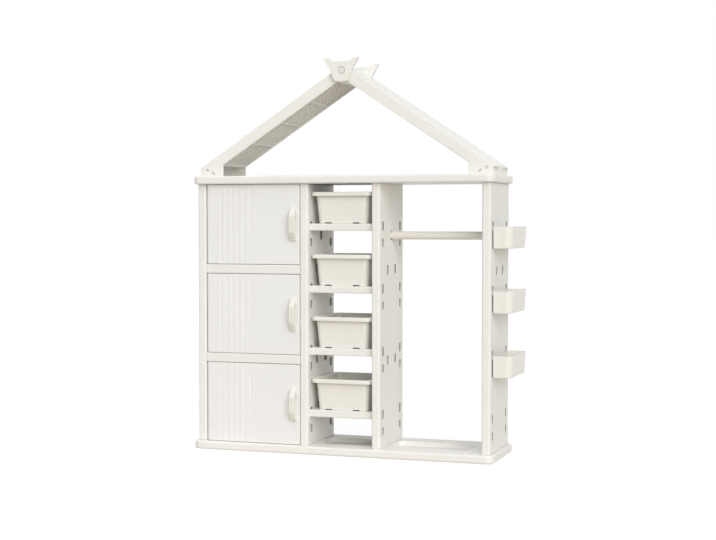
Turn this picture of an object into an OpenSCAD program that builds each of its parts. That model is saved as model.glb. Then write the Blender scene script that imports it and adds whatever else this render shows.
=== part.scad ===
// Child's dress-up storage unit in moulded plastic: a base, four upright panels and a top board,
// with a three-door cabinet, a bay of pull-out bins, a clothes rod, hang-on side bins and a gabled roof.
// +Z is up, the front faces -Y, and the origin is the middle of the base's underside. Millimetres.

/* [Upright panels] */
// Thickness of each upright panel
panel_t = 32; // [28:1:40]
// Depth of each upright panel, front to back
panel_d = 286; // [276:1:300]
// Height of each upright panel
panel_h = 962; // [930:1:1040]
// Radius on the front and back edges of each panel
panel_edge_r = 7; // [4:0.5:12]
// Radius along the top and bottom edges of each panel
panel_end_r = 3; // [1:0.5:4]
// Wall of the hollow moulded boards
skin = 3; // [2:0.25:4]

/* [Bays] */
// Clear width of the cabinet
cabinet_w = 376; // [320:1:440]
// Clear width of the bin bay
bin_bay_w = 245; // [238:1:280]
// Clear width of the clothes bay
rod_bay_w = 376; // [300:1:460]

/* [Base and top board] */
// Height of the base
base_h = 30; // [28:1:40]
// Overhang of the base past the outer uprights
base_side = 15; // [2:0.5:20]
// Overhang of the base and the top board past the front and back of the uprights
board_front = 20; // [12:1:30]
// Thickness of the top board
top_h = 30; // [28:1:40]
// Overhang of the top board past the outer uprights
top_side = 15; // [4:0.5:20]
// Corner radius of the base and the top board, seen from above
board_corner_r = 28; // [20:1:40]
// Radius along the edges of the base and the top board
board_edge_r = 7; // [3:0.5:9]
// Thickness of the floor left under the trays moulded into the base
tray_floor = 13; // [4:0.5:16]
// Distance from the front of the base to the trays
tray_front = 88; // [70:1:140]
// Distance from the back of the base to the trays
tray_back = 86; // [15:1:110]
// Plain margin between a tray and the uprights beside it
tray_side = 9; // [4:1:20]
// Plain margin between the clothes bay's tray and the right upright
tray_right = 69; // [40:1:120]
// Corner radius of the trays
tray_r = 22; // [8:1:30]

/* [Slots in the uprights] */
// Width of every slot
slot_w = 24; // [16:0.5:26]
// Corner radius of every slot
slot_r = 6; // [2:0.5:7]
// Height of a hook slot
slot_h = 34; // [30:1:38]
// Distance of the outer slot columns from the panel's edges
slot_inset = 39; // [32:1:50]
// Offset of the cabinet shelf slots from the middle of the panel
pair_offset = 46; // [35:1:60]
// Thickness of the lip that a hook hangs on
hook_lip = 4; // [3:0.25:5]
// Room below the lip for a hook's tooth
hook_drop = 10; // [8:0.5:12]
// Drop from a hook slot to the spare slot under it
spare_drop = 61; // [58:1:64]

/* [Cabinet] */
// Thickness of the cabinet shelves
cab_shelf_t = 34; // [26:1:40]
// Thickness of the doors
door_t = 20; // [16:1:24]
// Gap beside the doors on the hinge side
hinge_gap = 2.5; // [2:0.5:8]
// Gap beside the doors on the latch side
latch_gap = 1.5; // [1:0.5:4]
// Gap above and below each door
door_gap = 1.5; // [1:0.5:4]
// Wall of the hollow doors
door_skin = 3.6; // [3:0.1:4]
// Width of the grooves in the doors
groove_w = 7; // [4:0.5:9]
// Depth of the grooves in the doors
groove_deep = 1.3; // [0.8:0.1:2]
// Radius of the hinge pins
pin_r = 3; // [2:0.25:4]
// Length of each hinge pin
pin_len = 20; // [16:1:24]
// Thickness of the cabinet's back panel
back_t = 4; // [3:0.5:6]
// Distance of the back panel from the back edge of the uprights
back_inset = 8; // [4:1:20]

/* [Door handles] */
// Length of a handle
handle_len = 120; // [110:1:140]
// Width of a handle
handle_w = 22; // [18:1:32]
// Thickness of a handle's bow
handle_t = 9; // [6:0.5:12]
// Clear gap for the fingers behind a handle
finger_gap = 19; // [14:0.5:24]
// Length of each foot of a handle on the door
handle_foot = 20; // [16:1:24]
// Distance of a handle's middle from the door's edge
handle_inset = 22; // [20:1:50]

/* [Bin bay] */
// Height of the lowest bin shelf's top above the base
first_shelf = 130.5; // [110:0.5:150]
// Clear height between the top bin and the top board
bin_room = 30.7; // [20:0.1:40]
// Height of a bin shelf's front edge
bin_shelf_h = 26; // [24:1:27]
// Setback of the bin shelves from the front of the uprights
bin_shelf_set = 20; // [14:1:24]
// Height of a bin
bin_h = 115; // [90:1:150]
// Gap between a bin's rim and the upright on each side
bin_side_gap = 6; // [4:0.5:20]
// Distance of a bin's rim from the front and back of the uprights
bin_end_set = 9; // [6:0.5:24]
// Overhang of a bin's rim past its body
rim_out = 13; // [10:0.5:18]
// Height of a bin's turned-down rim
rim_drop = 14; // [8:1:20]
// Taper of a bin's body on each side from top to bottom
bin_taper = 9.5; // [4:0.5:12]
// Wall of a bin
bin_wall = 2.6; // [2:0.2:3.4]
// Height of the skirt under a bin's floor
bin_skirt = 6; // [4:0.5:8]

/* [Clothes rod] */
// Distance from the top board down to the rod's middle
rod_drop = 189.5; // [185:0.5:194]
// Radius of the rod
rod_r = 15; // [12:0.5:16]
// Wall of the rod
rod_wall = 2.5; // [1.5:0.25:4]
// Length of the plugs inside the rod's ends
plug_len = 24; // [16:1:40]

/* [Side bins] */
// Reach of a side bin out from the upright
side_bin_out = 74; // [55:1:90]
// Distance of a side bin's ends past the middle of its hooks
hook_past = 22; // [6:0.5:28]
// Height of a side bin
side_bin_h = 78; // [64:1:95]
// Gap between a side bin and the upright
side_bin_gap = 4; // [3:0.5:6]
// Wall of a side bin
side_bin_wall = 2.6; // [2:0.2:3.4]
// Radius of a side bin's outer corners
side_bin_r = 26; // [12:1:32]

/* [Roof] */
// Slope of the roof in degrees
roof_slope = 33.2; // [30:0.1:36]
// Distance of a roof foot's outer end from the end of the top board
roof_set = 12.5; // [4:0.5:20]
// Height of a roof foot at its outer end
foot_h = 31; // [28:1:40]
// Width of a roof foot
foot_w = 90; // [70:1:110]
// Thickness of a roof panel
roof_t = 40; // [34:1:46]
// Depth of the roof, front to back
roof_d = 224; // [200:1:240]
// Thickness of a roof panel's outer skin
roof_skin = 5; // [4:0.5:8]
// Thickness of the flanges along a roof panel's front and back
flange_t = 10; // [8:0.5:14]
// Distance from one cross rib to the next
rib_pitch = 134; // [100:2:180]
// Thickness of the ribs
rib_t = 4; // [3:0.25:6]
// Depth of the plain hollow below the ribs
rib_set = 4; // [2:0.5:8]

/* [Ridge] */
// Thickness of a ridge bracket
bracket_t = 15; // [12:0.5:18]
// Distance between the tips of a ridge bracket
bracket_span = 132; // [110:1:150]
// Height from the ridge bolt to the bracket's tips
tip_rise = 47; // [38:1:54]
// Radius of the ring sunk round the ridge bolt's head
ring_r = 15.5; // [12:0.5:18]
// Radius of the ridge bolt
ridge_bolt_r = 5; // [4:0.25:6]
// Distance of the ridge bolt's middle below the roof's peak
bolt_below_peak = 21.5; // [20:0.5:25]

/* [Mirror] */
// Margin round the mirror sheet
mirror_margin = 51; // [48:1:80]
// Thickness of the mirror sheet
mirror_t = 2; // [1.5:0.25:4]

/* [Hidden] */

$fn = 48;
eps = 0.01;
cream = [0.93, 0.91, 0.85];
pale = [0.95, 0.93, 0.88];
khaki = [0.80, 0.77, 0.68];
steel = [0.72, 0.73, 0.75];

// Clearances
fit = 0.25;        // moulded lug in its slot or socket, each side
move = 0.3;        // between a moving piece and what it passes
run = 0.05;        // hinge pin or rod in its bore, on the radius
snug = 0.02;       // screw or pin in the piece that it fixes, on the radius

// Heights
deck_z = base_h + panel_h;
roof_z = deck_z + top_h;

// Places across the unit: the middle of each upright, and the faces of the bays
body_w = 4 * panel_t + cabinet_w + bin_bay_w + rod_bay_w;
upright_x = [-body_w / 2 + panel_t / 2,
    -body_w / 2 + panel_t * 1.5 + cabinet_w,
    body_w / 2 - panel_t * 1.5 - rod_bay_w,
    body_w / 2 - panel_t / 2];
cab_left = upright_x[0] + panel_t / 2;
cab_right = upright_x[1] - panel_t / 2;
bay_left = upright_x[1] + panel_t / 2;
bay_right = upright_x[2] - panel_t / 2;
rod_left = upright_x[2] + panel_t / 2;
rod_right = upright_x[3] - panel_t / 2;
bay_mid = (bay_left + bay_right) / 2;
side_x = upright_x[3] + panel_t / 2;

// The boards
base_w = body_w + 2 * base_side;
board_d = panel_d + 2 * board_front;
top_w = body_w + 2 * top_side;
tray_depth = base_h - tray_floor;

// Tenons on the ends of the uprights, and the screws that hold them
tenon_w = 18;
tenon_l = 50;
tenon_h = 16;
tenon_y = 66;
screw_r = 2.25;
screw_head_r = 4.5;
screw_head_h = 3;
screw_sink = 4;
screw_bite = 9;    // reach of a long screw into a tenon
cap_r = 7;
cap_h = 2.5;

// The slot in the base's top
floor_slot_x = 46;
floor_slot_y = 48;
floor_slot_w = 20;
floor_slot_len = 28;
floor_slot_deep = 12;

// Slots
column_y = panel_d / 2 - slot_inset;
lug_w = slot_w - 2 * fit;
lug_len = 13;      // reach of a plain lug into its slot
tooth_t = 6;
tooth_drop = hook_drop - 3.5;
plug_lug_h = slot_h - 2 * slot_r;
lug_set = 6;       // the top of a lug below the top of its shelf
spare_h = 30;
rod_z = deck_z - rod_drop;

// The cabinet
comp_h = (panel_h - 2 * cab_shelf_t) / 3;
cab_shelf_d = panel_d - back_inset - back_t;
door_h = comp_h - 2 * door_gap;
pivot_x = cab_left + hinge_gap + door_t / 2;
pivot_y = -panel_d / 2 + door_t / 2;
door_right = cab_right - latch_gap;
door_end_r = 3;
groove_x = [58, 80, 105, 127, 151];
short_groove_x = 178;
short_groove_top = 20;
short_groove_len = 167;
strike_w = 10;
strike_h = 30;
strike_t = 1.2;
strike_edge = 2;
catch_w = 15;
catch_d = 14;
catch_h = 36;
post_r = 7;        // boss in the door behind a handle's foot
bow_rise = 26;     // length of a handle's slanting part along the door
bow_end = 8;       // thickness of a handle at its tips
handle_x = door_right - handle_inset;
handle_screw_r = 2;
handle_screw_head_r = 4;
handle_screw_len = door_t + 8;

// The bin bay
bin_mid_y = 0;
bin_shelf_d = panel_d - 2 * bin_shelf_set;
shelf_pitch = (panel_h - first_shelf - bin_h - move - bin_room) / 3;
bin_w = bin_bay_w - 2 * bin_side_gap;
bin_l = panel_d - 2 * bin_end_set;
deck_t = 3.5;
stop_h = 8;
stop_t = 4;
stop_w = 150;
rim_r = 24;
foot_notch_w = 27;
foot_notch_x = 54;
foot_notch_h = 4;

// The side bins
side_bin_l = 2 * (column_y + hook_past);
side_in = 4.3;     // draft of a side bin's foot
back_r = 5;        // radius of a side bin's corners against the upright
hook_neck_h = 14;  // height of a side bin's hooks in their slots
bumper_w = 12;
bumper_h = 10;
bumper_z = 6;

// The roof, in the upright XZ plane. The panel's inner face runs from the ridge down to the foot.
roof_half = top_w / 2 - roof_set;
roof_peak_z = roof_z + foot_h + roof_half * tan(roof_slope);
roof_inner_z = roof_peak_z - roof_t / cos(roof_slope);
foot_inner_x = roof_half - foot_w;
roof_run = foot_inner_x / cos(roof_slope);
foot_bend_h = roof_inner_z - foot_inner_x * tan(roof_slope) - roof_z;   // top of a foot's inner side
ridge_block = 24;
foot_block = 4;
rib_bays = max(1, floor((roof_run - ridge_block - foot_block) / rib_pitch));
cell_rows = 6;
bolt_z = roof_peak_z - bolt_below_peak;
peg_r = 4;
peg_len = 9;
peg_x = 24;
peg_z = (roof_peak_z + roof_inner_z) / 2 - peg_x * tan(roof_slope);
bolt_head_r = 10.5;
bolt_head_h = 5;
ring_deep = 6;
foot_pocket_w = 34;
foot_pocket_wall = 3;
foot_pocket_rib = 4;
foot_pocket_y = [for (i = [0, 1]) roof_d / 2 - foot_pocket_wall - foot_pocket_w / 2
    - i * (foot_pocket_w + foot_pocket_rib)];
foot_pocket_h = 18;
foot_pocket_deep = 26;
foot_floor = 7;
foot_wall = 8;
foot_hollow_h = min(foot_bend_h - 2, foot_h + (foot_pocket_deep + foot_wall) * tan(roof_slope) - foot_wall);
foot_bite = top_h - tenon_h - 2 * fit - 1.5;   // reach of a foot screw into the top board
foot_hole_x = 27;
foot_hole_z = 23;
foot_hole_r = 5;
foot_hole_deep = 8;
foot_notch_in = 52;
foot_notch_z = 11;
foot_notch_t = 6;
foot_notch_len = 17;
foot_notch_turn = -55;
bracket_foot = 40;

// The mirror
mirror_r = 14;

// ---------------------------------------------------------------- shared shapes

// A rectangle with round corners, centred
module round_rect(w, l, r) {
    square([w - 2 * r, l], center = true);
    square([w, l - 2 * r], center = true);
    for (sx = [-1, 1], sy = [-1, 1])
        translate([sx * (w / 2 - r), sy * (l / 2 - r)]) circle(r);
}

// Half the section of a soft board, from z = 0: flat but for its two round outer edges
module edge_section(out, h, edge) {
    square([out - edge, h]);
    translate([0, edge]) square([out, h - 2 * edge]);
    for (z = [edge, h - edge]) intersection() {
        translate([out - edge, z]) circle(edge);
        translate([out - edge, 0]) square([edge, h]);
    }
}

// A board standing on z = 0 with round corners seen from above and round edges all the way round.
// Its pieces meet face to face: the middle, four sides and four turned corners.
module soft_board(w, l, h, corner, edge) {
    mid_w = w - 2 * corner;
    mid_l = l - 2 * corner;
    translate([-mid_w / 2, -mid_l / 2, 0]) cube([mid_w, mid_l, h]);
    for (s = [0, 1]) mirror([0, s, 0]) translate([-mid_w / 2, mid_l / 2, 0])
        rotate([90, 0, 90]) linear_extrude(mid_w) edge_section(corner, h, edge);
    for (s = [0, 1]) mirror([s, 0, 0]) translate([mid_w / 2, mid_l / 2, 0])
        rotate([90, 0, 0]) linear_extrude(mid_l) edge_section(corner, h, edge);
    for (sx = [0, 1], sy = [0, 1]) mirror([sx, 0, 0]) mirror([0, sy, 0])
        translate([mid_w / 2, mid_l / 2, 0]) rotate_extrude(angle = 90) edge_section(corner, h, edge);
}

// A box by its middle in X and Y and its lowest Z
module block(x, y, z, w, l, h) {
    translate([x - w / 2, y - l / 2, z]) cube([w, l, h]);
}

// A strip with round ends, long along the second axis
module round_strip(w, h) {
    square([w, h - w], center = true);
    for (s = [-1, 1]) translate([0, s * (h - w) / 2]) circle(w / 2);
}

// A bar along X with the outline of a slot in the YZ plane
module slot_bar(y, z, w, h, len) {
    translate([-len / 2, y, z]) rotate([90, 0, 90]) linear_extrude(len) round_rect(w, h, slot_r);
}

// ---------------------------------------------------------------- places that several pieces share

// The top of a bin shelf, and the middle of the hook slot beside it
function shelf_top(i) = base_h + first_shelf + i * shelf_pitch;
function hook_slot_low(i) = shelf_top(i) - bin_shelf_h;
function hook_slot_z(i) = hook_slot_low(i) + slot_h / 2;

// The underside of a cabinet shelf, and the floor of a cabinet compartment
function cab_shelf_z(i) = base_h + (i + 1) * comp_h + i * cab_shelf_t;
function comp_z(i) = base_h + i * (comp_h + cab_shelf_t);
function door_mid_z(i) = comp_z(i) + comp_h / 2;

module at_tenons() {
    for (x = upright_x, s = [-1, 1]) translate([x, s * tenon_y, 0]) children();
}

module at_roof_screws() {
    for (sx = [-1, 1], sy = [-1, 1], y = foot_pocket_y)
        translate([sx * (roof_half - foot_pocket_deep / 2), sy * y, 0]) children();
}

// ---------------------------------------------------------------- base and top board

// The hollow inside a board, less the solid bosses round its sockets
module board_hollow(w, h) {
    inset = skin + 1.5;
    difference() {
        translate([0, 0, skin]) linear_extrude(h - 2 * skin)
            round_rect(w - 2 * inset, board_d - 2 * inset, board_corner_r - inset);
        at_tenons() block(0, 0, 0, tenon_w + 2 * skin + 2, tenon_l + 2 * skin + 2, h);
        translate([pivot_x, pivot_y, 0]) cylinder(r = pin_r + 2 * skin, h = h);
    }
}

module tenon_socket() {
    block(0, 0, 0, tenon_w + 2 * fit, tenon_l + 2 * fit, tenon_h + 2 * fit);
}

// The trays in the base, grown by their wall for the hollow and plain for the cut
module trays(grow) {
    y0 = -board_d / 2 + tray_front;
    y1 = board_d / 2 - tray_back;
    spans = [[bay_left + tray_side, bay_right - tray_side], [rod_left + tray_side, rod_right - tray_right]];
    for (s = spans) translate([(s[0] + s[1]) / 2, (y0 + y1) / 2, base_h - tray_depth - grow])
        linear_extrude(tray_depth + grow + 1)
            round_rect(s[1] - s[0] + 2 * grow, y1 - y0 + 2 * grow, tray_r + grow);
}

// A short slot in the clothes bay's floor, near the right upright, for a hanging accessory
module floor_slot(grow) {
    translate([rod_right - floor_slot_x, -board_d / 2 + floor_slot_y, base_h - floor_slot_deep - grow])
        rotate(90) linear_extrude(floor_slot_deep + grow + 1)
            round_strip(floor_slot_w + 2 * grow, floor_slot_len + 2 * grow);
}

module base_plinth() {
    color(cream) difference() {
        soft_board(base_w, board_d, base_h, board_corner_r, board_edge_r);
        difference() {
            board_hollow(base_w, base_h);
            trays(skin);
            floor_slot(skin);
        }
        trays(0);
        floor_slot(0);
        at_tenons() {
            translate([0, 0, base_h - tenon_h - 2 * fit]) tenon_socket();
            translate([0, 0, -1]) cylinder(r = screw_r + fit, h = base_h);
            translate([0, 0, -1]) cylinder(r = screw_head_r + fit, h = screw_sink + 1);
        }
        translate([pivot_x, pivot_y, base_h - pin_len / 2]) cylinder(r = pin_r + snug, h = pin_len);
    }
}

module top_board() {
    color(cream) difference() {
        translate([0, 0, deck_z]) soft_board(top_w, board_d, top_h, board_corner_r, board_edge_r);
        difference() {
            translate([0, 0, deck_z]) board_hollow(top_w, top_h);
            at_roof_screws() translate([0, 0, deck_z]) cylinder(r = screw_r + skin, h = top_h);
        }
        at_tenons() {
            translate([0, 0, deck_z - eps]) tenon_socket();
            translate([0, 0, deck_z]) cylinder(r = screw_r + fit, h = top_h + 1);
            translate([0, 0, roof_z - screw_sink]) cylinder(r = cap_r + snug, h = screw_sink + 1);
        }
        translate([pivot_x, pivot_y, deck_z - pin_len / 2]) cylinder(r = pin_r + snug, h = pin_len);
        at_roof_screws() translate([0, 0, roof_z - foot_bite - 0.5])
            cylinder(r = screw_r + snug, h = foot_bite + 1);
    }
}

// ---------------------------------------------------------------- upright panels

// The spare slots and the cabinet shelf slots are plain, [y, middle z, height]
function plain_slots() = concat(
    [for (i = [0:3], s = [-1, 1]) [s * column_y, hook_slot_z(i) - spare_drop, spare_h]],
    [for (i = [0:1], s = [-1, 1]) [s * pair_offset, cab_shelf_z(i) + cab_shelf_t / 2, slot_h]],
    [[0, rod_z, slot_h]]);

module upright(i) {
    color(pale) translate([upright_x[i], 0, 0]) difference() {
        union() {
            translate([0, 0, base_h]) soft_board(panel_t, panel_d, panel_h, panel_edge_r, panel_end_r);
            for (s = [-1, 1]) {
                block(0, s * tenon_y, base_h - tenon_h, tenon_w, tenon_l, tenon_h + 1);
                block(0, s * tenon_y, deck_z - 1, tenon_w, tenon_l, tenon_h + 1);
            }
        }
        difference() {
            translate([0, 0, base_h + skin]) linear_extrude(panel_h - 2 * skin)
                round_rect(panel_t - 2 * skin, panel_d - 2 * skin, max(1, panel_edge_r - skin));
            for (p = plain_slots()) block(0, p[0], p[1] - p[2] / 2 - skin,
                panel_t, slot_w + 2 * skin, p[2] + 2 * skin);
            for (j = [0:3], s = [-1, 1]) block(0, s * column_y, hook_slot_low(j) - hook_drop - skin,
                panel_t, slot_w + 2 * skin, slot_h + hook_drop + 2 * skin);
            for (s = [-1, 1], z = [base_h, deck_z - tenon_h])
                block(0, s * tenon_y, z, panel_t, tenon_l, tenon_h);
        }
        for (p = plain_slots()) slot_bar(p[0], p[1], slot_w, p[2], panel_t + 2);
        for (j = [0:3], s = [-1, 1]) {
            slot_bar(s * column_y, hook_slot_z(j), slot_w, slot_h, panel_t + 2);
            block(0, s * column_y, hook_slot_low(j) - hook_drop,
                panel_t - 2 * hook_lip, slot_w, slot_h + hook_drop - slot_r);
        }
        for (s = [-1, 1], z = [base_h - tenon_h - 1, deck_z - 10])
            translate([0, s * tenon_y, z]) cylinder(r = screw_r + snug, h = tenon_h + 11);
    }
}

// Long screws up through the base and down through the top board into the tenons of the uprights
module base_screws() {
    color(steel) at_tenons() {
        translate([0, 0, screw_sink - screw_head_h]) cylinder(r = screw_head_r, h = screw_head_h);
        translate([0, 0, screw_sink - 1])
            cylinder(r = screw_r, h = base_h - tenon_h + screw_bite - screw_sink + 1);
    }
}

module top_screws() {
    color(steel) at_tenons() {
        translate([0, 0, roof_z - screw_sink]) cylinder(r = screw_head_r, h = screw_sink - cap_h - 0.1);
        translate([0, 0, deck_z + tenon_h - screw_bite])
            cylinder(r = screw_r, h = top_h - tenon_h + screw_bite - screw_sink + 1);
    }
}

// Plugs over the screws of the two middle uprights. The roof's feet hide the others.
module screw_caps() {
    color(cream) for (i = [1, 2], s = [-1, 1])
        translate([upright_x[i], s * tenon_y, roof_z - cap_h]) cylinder(r = cap_r, h = cap_h);
}

// ---------------------------------------------------------------- cabinet

module cabinet_shelf(i) {
    z = cab_shelf_z(i);
    mid_x = (cab_left + cab_right) / 2;
    mid_y = -panel_d / 2 + cab_shelf_d / 2;
    color(cream) difference() {
        union() {
            translate([cab_left, mid_y, z + cab_shelf_t / 2]) rotate([90, 0, 90])
                linear_extrude(cabinet_w) round_rect(cab_shelf_d, cab_shelf_t, 3);
            for (sx = [-1, 1], sy = [-1, 1])
                block(mid_x + sx * (cabinet_w / 2 + lug_len / 2 - 1), sy * pair_offset,
                    z + (cab_shelf_t - slot_h) / 2 + slot_r, lug_len + 2, lug_w, slot_h - 2 * slot_r);
        }
        difference() {
            block(mid_x, mid_y, z + skin,
                cabinet_w - 2 * skin, cab_shelf_d - 2 * skin, cab_shelf_t - 2 * skin);
            translate([pivot_x, pivot_y, z]) cylinder(r = pin_r + 2 * skin, h = cab_shelf_t);
        }
        for (zp = [z, z + cab_shelf_t])
            translate([pivot_x, pivot_y, zp - pin_len / 2]) cylinder(r = pin_r + snug, h = pin_len);
    }
}

module cabinet_back() {
    color(cream) block((cab_left + cab_right) / 2, panel_d / 2 - back_inset - back_t / 2, base_h,
        cabinet_w, back_t, panel_h);
}

// A door's outline seen from above: round about the pivot, with small corners at the latch side
module door_outline() {
    w = door_right - pivot_x;
    translate([pivot_x, pivot_y]) {
        circle(door_t / 2);
        translate([0, -door_t / 2]) square([w - door_end_r, door_t]);
        translate([0, -door_t / 2 + door_end_r]) square([w, door_t - 2 * door_end_r]);
        for (s = [-1, 1]) translate([w - door_end_r, s * (door_t / 2 - door_end_r)]) circle(door_end_r);
    }
}

module at_handle_posts(i) {
    for (s = [-1, 1])
        translate([handle_x, 0, door_mid_z(i) + s * (handle_len - handle_foot) / 2]) children();
}

module strike_pocket(i, grow) {
    block(door_right - strike_edge - strike_w / 2, -panel_d / 2 + door_t - strike_t / 2,
        door_mid_z(i) - strike_h / 2, strike_w + 2 * grow, strike_t + 2 * grow, strike_h);
}

module door(i) {
    z = comp_z(i) + door_gap;
    front = -panel_d / 2;
    left = pivot_x - door_t / 2;
    color(cream) difference() {
        translate([0, 0, z]) linear_extrude(door_h) door_outline();
        difference() {
            translate([pivot_x + door_t, front + door_skin, z + door_skin]) cube([
                door_right - pivot_x - door_t - strike_edge - strike_w - door_skin,
                door_t - 2 * door_skin,
                door_h - 2 * door_skin]);
            at_handle_posts(i) translate([0, front + door_t, 0]) rotate([90, 0, 0])
                cylinder(r = post_r + 1, h = door_t);
        }
        for (x = groove_x) block(left + x, front, z - 1, groove_w, 2 * groove_deep, door_h + 2);
        block(left + short_groove_x, front, z + door_h - short_groove_top - short_groove_len,
            groove_w, 2 * groove_deep, short_groove_len);
        for (zp = [z, z + door_h]) translate([pivot_x, pivot_y, zp - pin_len / 2])
            cylinder(r = pin_r + run, h = pin_len);
        at_handle_posts(i) translate([0, front + door_t + 1, 0]) rotate([90, 0, 0]) {
            cylinder(r = handle_screw_r + fit, h = door_t + 2);
            cylinder(r = handle_screw_head_r + fit, h = 4);
        }
        strike_pocket(i, snug);
    }
}

// Pins in the shelf above and the shelf below, on which the door turns
module hinge_pins(i) {
    reach = pin_len / 2 - 0.5;
    color(steel) for (zp = [comp_z(i), comp_z(i) + comp_h])
        translate([pivot_x, pivot_y, zp - reach]) cylinder(r = pin_r, h = 2 * reach);
}

// A handle from the side, along Z and out from the door: a bow that stands on two feet
module handle_side() {
    out = finger_gap + handle_t;
    far = handle_len / 2;
    near = far - handle_foot;
    polygon([[-far, 0], [-far, bow_end], [bow_rise - far, out - 3], [bow_rise - far + 8, out],
        [far - bow_rise - 8, out], [far - bow_rise, out - 3], [far, bow_end], [far, 0],
        [near, 0], [near - 7, finger_gap - 3], [near - 12, finger_gap],
        [12 - near, finger_gap], [7 - near, finger_gap - 3], [-near, 0]]);
}

module handle(i) {
    back = -panel_d / 2;
    color(pale) difference() {
        translate([handle_x - handle_w / 2, back, door_mid_z(i)]) rotate([90, 0, 90])
            linear_extrude(handle_w) rotate(90) handle_side();
        at_handle_posts(i) translate([0, back + 1, 0]) rotate([90, 0, 0])
            cylinder(r = handle_screw_r + snug, h = handle_screw_len - door_t + 2);
    }
}

module handle_screws(i) {
    color(steel) at_handle_posts(i) translate([0, -panel_d / 2 + door_t - 0.5, 0]) rotate([90, 0, 0]) {
        cylinder(r = handle_screw_r, h = handle_screw_len);
        cylinder(r = handle_screw_head_r, h = 2.5);
    }
}

module strike_plate(i) {
    color(steel) block(door_right - strike_edge - strike_w / 2, -panel_d / 2 + door_t - strike_t / 2,
        door_mid_z(i) - strike_h / 2 + fit, strike_w, strike_t, strike_h - 2 * fit);
}

// Magnet catches on the divider, which are also the stops that the shut doors rest against
module door_catches() {
    color(cream) for (i = [0:2]) block(cab_right - catch_w / 2,
        -panel_d / 2 + door_t + move + catch_d / 2, door_mid_z(i) - catch_h / 2, catch_w, catch_d, catch_h);
}

// ---------------------------------------------------------------- bin bay

// A hook that passes through a slot and drops behind its lip. The slot's low end is at z = 0 and the
// panel's face at x = 0, with the hook going towards +X. It starts at "from" and clears by "gap".
module hook(from, gap, h) {
    w = slot_w - 2 * gap;
    reach = hook_lip + gap + tooth_t;
    translate([from, 0, gap + h / 2]) rotate([90, 0, 90])
        linear_extrude(reach - from) round_rect(w, h, slot_r - gap);
    translate([reach - tooth_t, -w / 2, gap - tooth_drop]) cube([tooth_t, w, tooth_drop + h / 2]);
}

module bin_shelf(i) {
    top = shelf_top(i);
    low = top - bin_shelf_h;
    color(cream) {
        difference() {
            translate([bay_left, 0, low + bin_shelf_h / 2]) rotate([90, 0, 90])
                linear_extrude(bin_bay_w) round_rect(bin_shelf_d, bin_shelf_h, 3);
            for (sx = [-1, 1], sy = [-1, 1]) {
                w = bin_bay_w / 2 - 1.5 * skin;
                l = bin_shelf_d / 2 - 1.5 * skin;
                block(bay_mid + sx * (w + skin) / 2, sy * (l + skin) / 2, low - 1,
                    w, l, bin_shelf_h - deck_t + 1);
            }
        }
        for (s = [-1, 1]) {
            translate([bay_right, s * column_y, low]) hook(-1, fit, bin_shelf_h - lug_set);
            translate([bay_left, s * column_y, low]) mirror([1, 0, 0]) hook(-1, fit, bin_shelf_h - lug_set);
        }
        block(bay_mid, bin_back_y(stop_h) + move + stop_t / 2, top - 1, stop_w, stop_t, stop_h + 1);
    }
}

// The back of a bin's sloping body at a height above its foot
function bin_back_y(z) = bin_mid_y + bin_l / 2 - rim_out - bin_taper * (1 - z / bin_h);

// A round-cornered slab on z, for the ends of a tapered form
module bin_slab(w, l, z, r) {
    translate([0, 0, z]) linear_extrude(eps, $fn = 32) round_rect(w, l, r);
}

// The tapered body of a bin between two heights, drawn in by "inside"
module bin_body(z0, z1, inside) {
    w = bin_w - 2 * rim_out - 2 * inside;
    l = bin_l - 2 * rim_out - 2 * inside;
    r = rim_r - 4 - inside;
    low = 2 * bin_taper * (1 - z0 / bin_h);
    high = 2 * bin_taper * (1 - z1 / bin_h);
    hull() {
        bin_slab(w - low, l - low, z0, r);
        bin_slab(w - high, l - high, z1 - eps, r);
    }
}

module toy_bin(i) {
    color(pale) translate([bay_mid, bin_mid_y, shelf_top(i) + move]) difference() {
        union() {
            bin_body(0, bin_h, 0);
            translate([0, 0, bin_h - rim_drop]) linear_extrude(rim_drop) round_rect(bin_w, bin_l, rim_r);
        }
        bin_body(bin_skirt + bin_wall, bin_h + 1, bin_wall);
        bin_body(-1, bin_skirt, bin_wall);
        difference() {
            translate([0, 0, bin_h - rim_drop - 1]) linear_extrude(rim_drop + 1 - bin_wall)
                round_rect(bin_w - 2 * bin_wall, bin_l - 2 * bin_wall, rim_r - bin_wall);
            bin_body(bin_h / 2, bin_h, 0);
        }
        for (sx = [-1, 1]) {
            block(sx * foot_notch_x, 0, -1, foot_notch_w, bin_l, foot_notch_h + 1);
            block(0, sx * foot_notch_x, -1, bin_w, foot_notch_w, foot_notch_h + 1);
        }
    }
}

// ---------------------------------------------------------------- clothes rod

module clothes_rod() {
    color(khaki) translate([rod_left, 0, rod_z]) rotate([0, 90, 0]) difference() {
        cylinder(r = rod_r, h = rod_bay_w);
        translate([0, 0, -1]) cylinder(r = rod_r - rod_wall, h = rod_bay_w + 2);
    }
}

// A plug inside the rod's end, with a lug that goes into the middle slot of the upright at x
module rod_plug(x, side) {
    color(pale) translate([x, 0, rod_z]) scale([side, 1, 1]) {
        rotate([0, 90, 0]) cylinder(r = rod_r - rod_wall - snug, h = plug_len);
        translate([-1, 0, 0]) rotate([0, 90, 0]) cylinder(r = rod_r - rod_wall - 4, h = 2);
        translate([-lug_len, -lug_w / 2, -plug_lug_h / 2]) cube([lug_len, lug_w, plug_lug_h]);
    }
}

// ---------------------------------------------------------------- side bins

// The plan of a side bin between its back, at x = 0, and its outer face, drawn in by "inside"
module side_bin_plan(out, l, inside) {
    r = side_bin_r - inside;
    b = max(1, back_r - inside);
    hull() for (s = [-1, 1]) {
        translate([out - inside - r, s * (l / 2 - inside - r)]) circle(r, $fn = 32);
        translate([inside + b, s * (l / 2 - inside - b)]) circle(b, $fn = 32);
    }
}

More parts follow.
